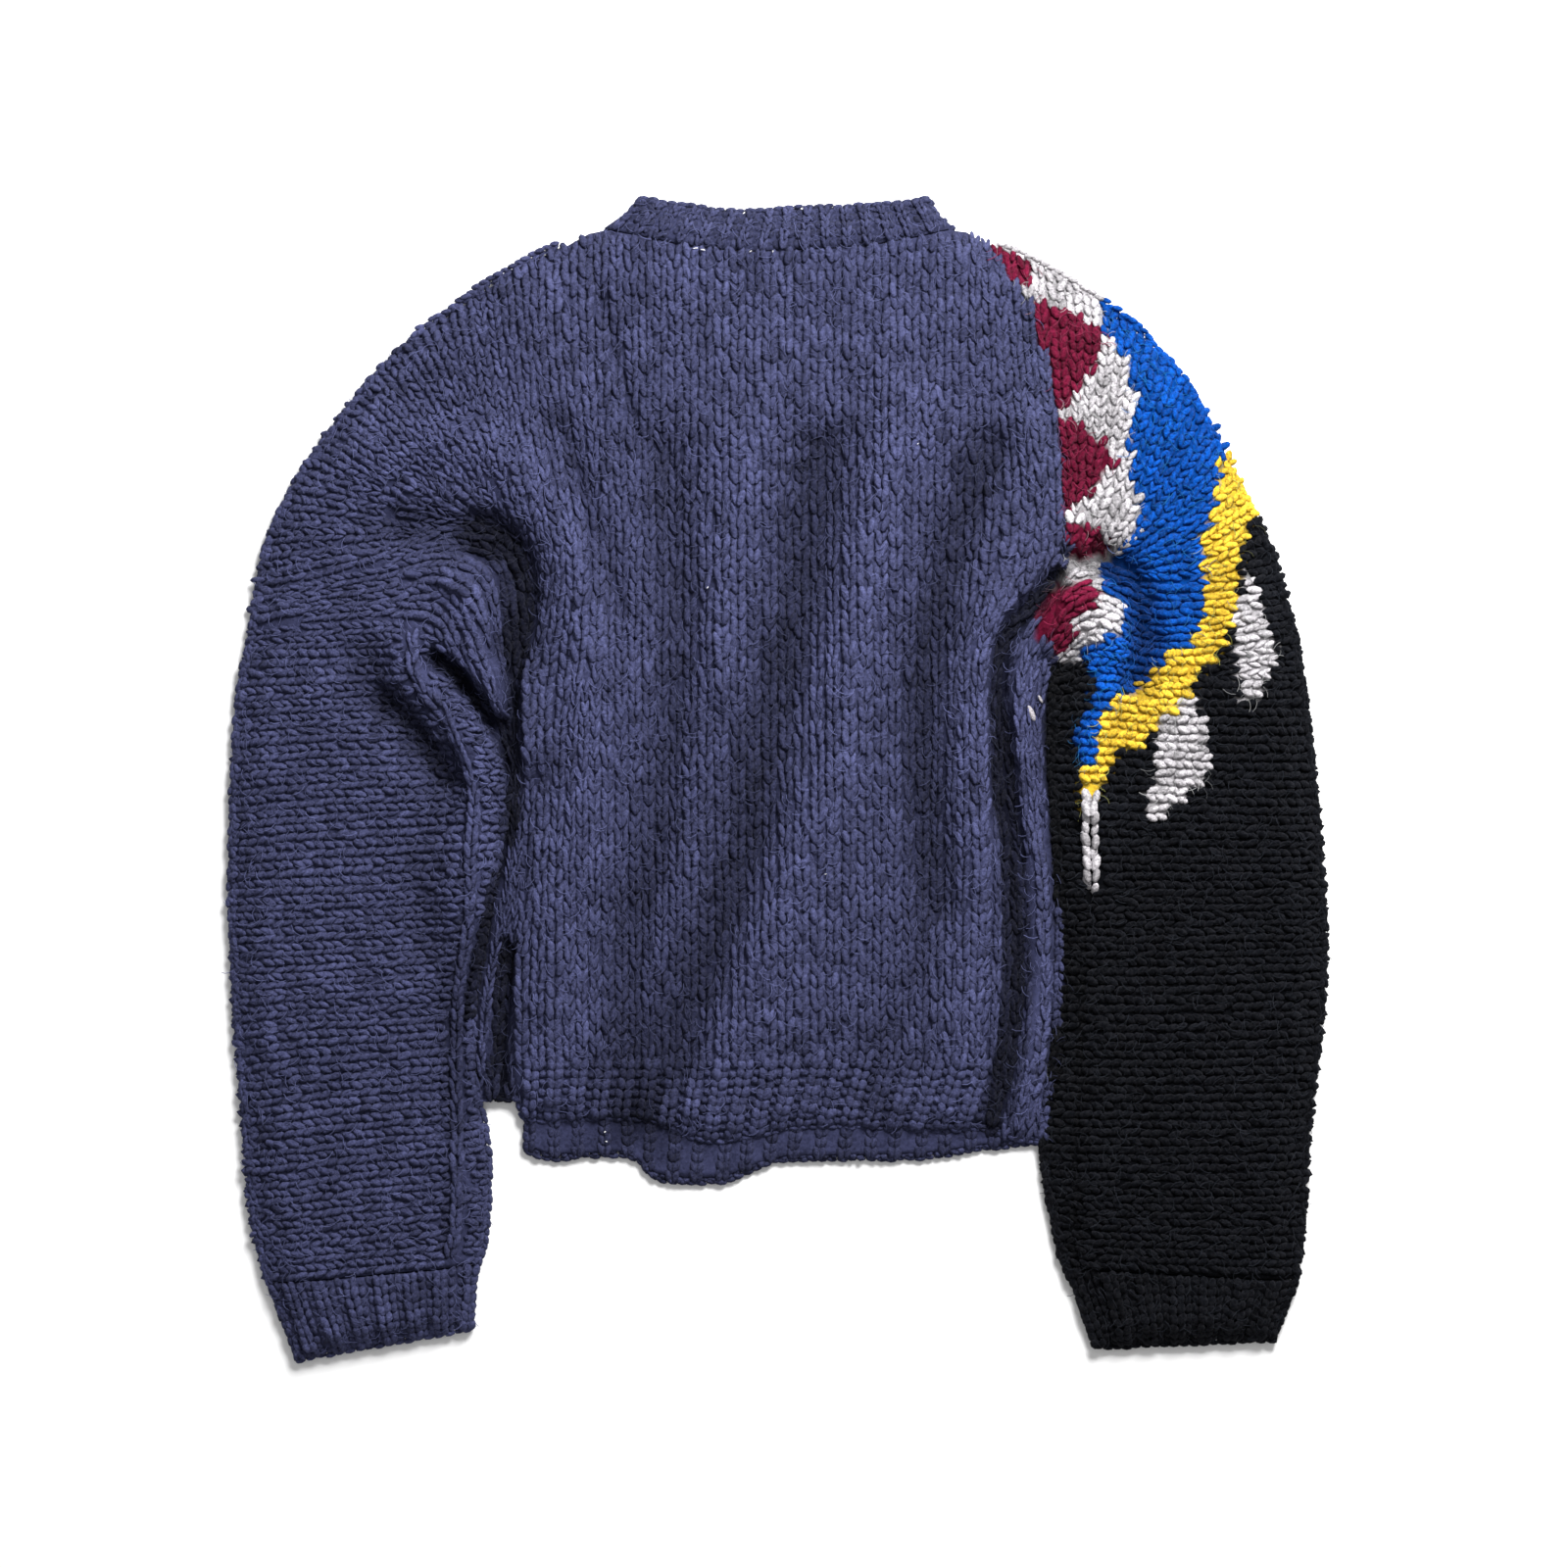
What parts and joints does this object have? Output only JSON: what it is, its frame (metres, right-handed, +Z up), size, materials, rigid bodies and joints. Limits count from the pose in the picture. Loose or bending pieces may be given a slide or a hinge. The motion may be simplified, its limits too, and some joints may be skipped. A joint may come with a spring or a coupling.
{
  "type": "darned wool sweater",
  "caption": "Chunky hand-knitted wool sweater laid flat back side up, with ribbed neck, hem and cuffs and a black sleeve worked in coloured shapes.",
  "frame": {"origin": "middle of the underside, on the surface the sweater lies on", "axes": "+Z up from that surface through the front layer to the back layer, +Y to the neck, +X to the wearer's right sleeve"},
  "size_m": [0.694, 0.732, 0.0225],
  "materials": {
    "slate_wool": "fuzzy chunky wool knit, slate purple-blue",
    "patterned_wool": "fuzzy chunky wool knit, black with burgundy, off-white, blue and yellow shapes"
  },
  "bodies": {
    "root": {"back_body": "slate_wool", "hem_rib_back": "slate_wool", "neck_rib_back": "slate_wool", "neck_rib_front": "slate_wool", "front_body": "slate_wool", "hem_rib_front": "slate_wool", "back_sleeve_left": "slate_wool", "front_sleeve_left": "slate_wool", "back_sleeve_right": "patterned_wool", "front_sleeve_right": "patterned_wool", "cuff_left": "slate_wool", "cuff_right": "patterned_wool"}
  },
  "joints": []
}
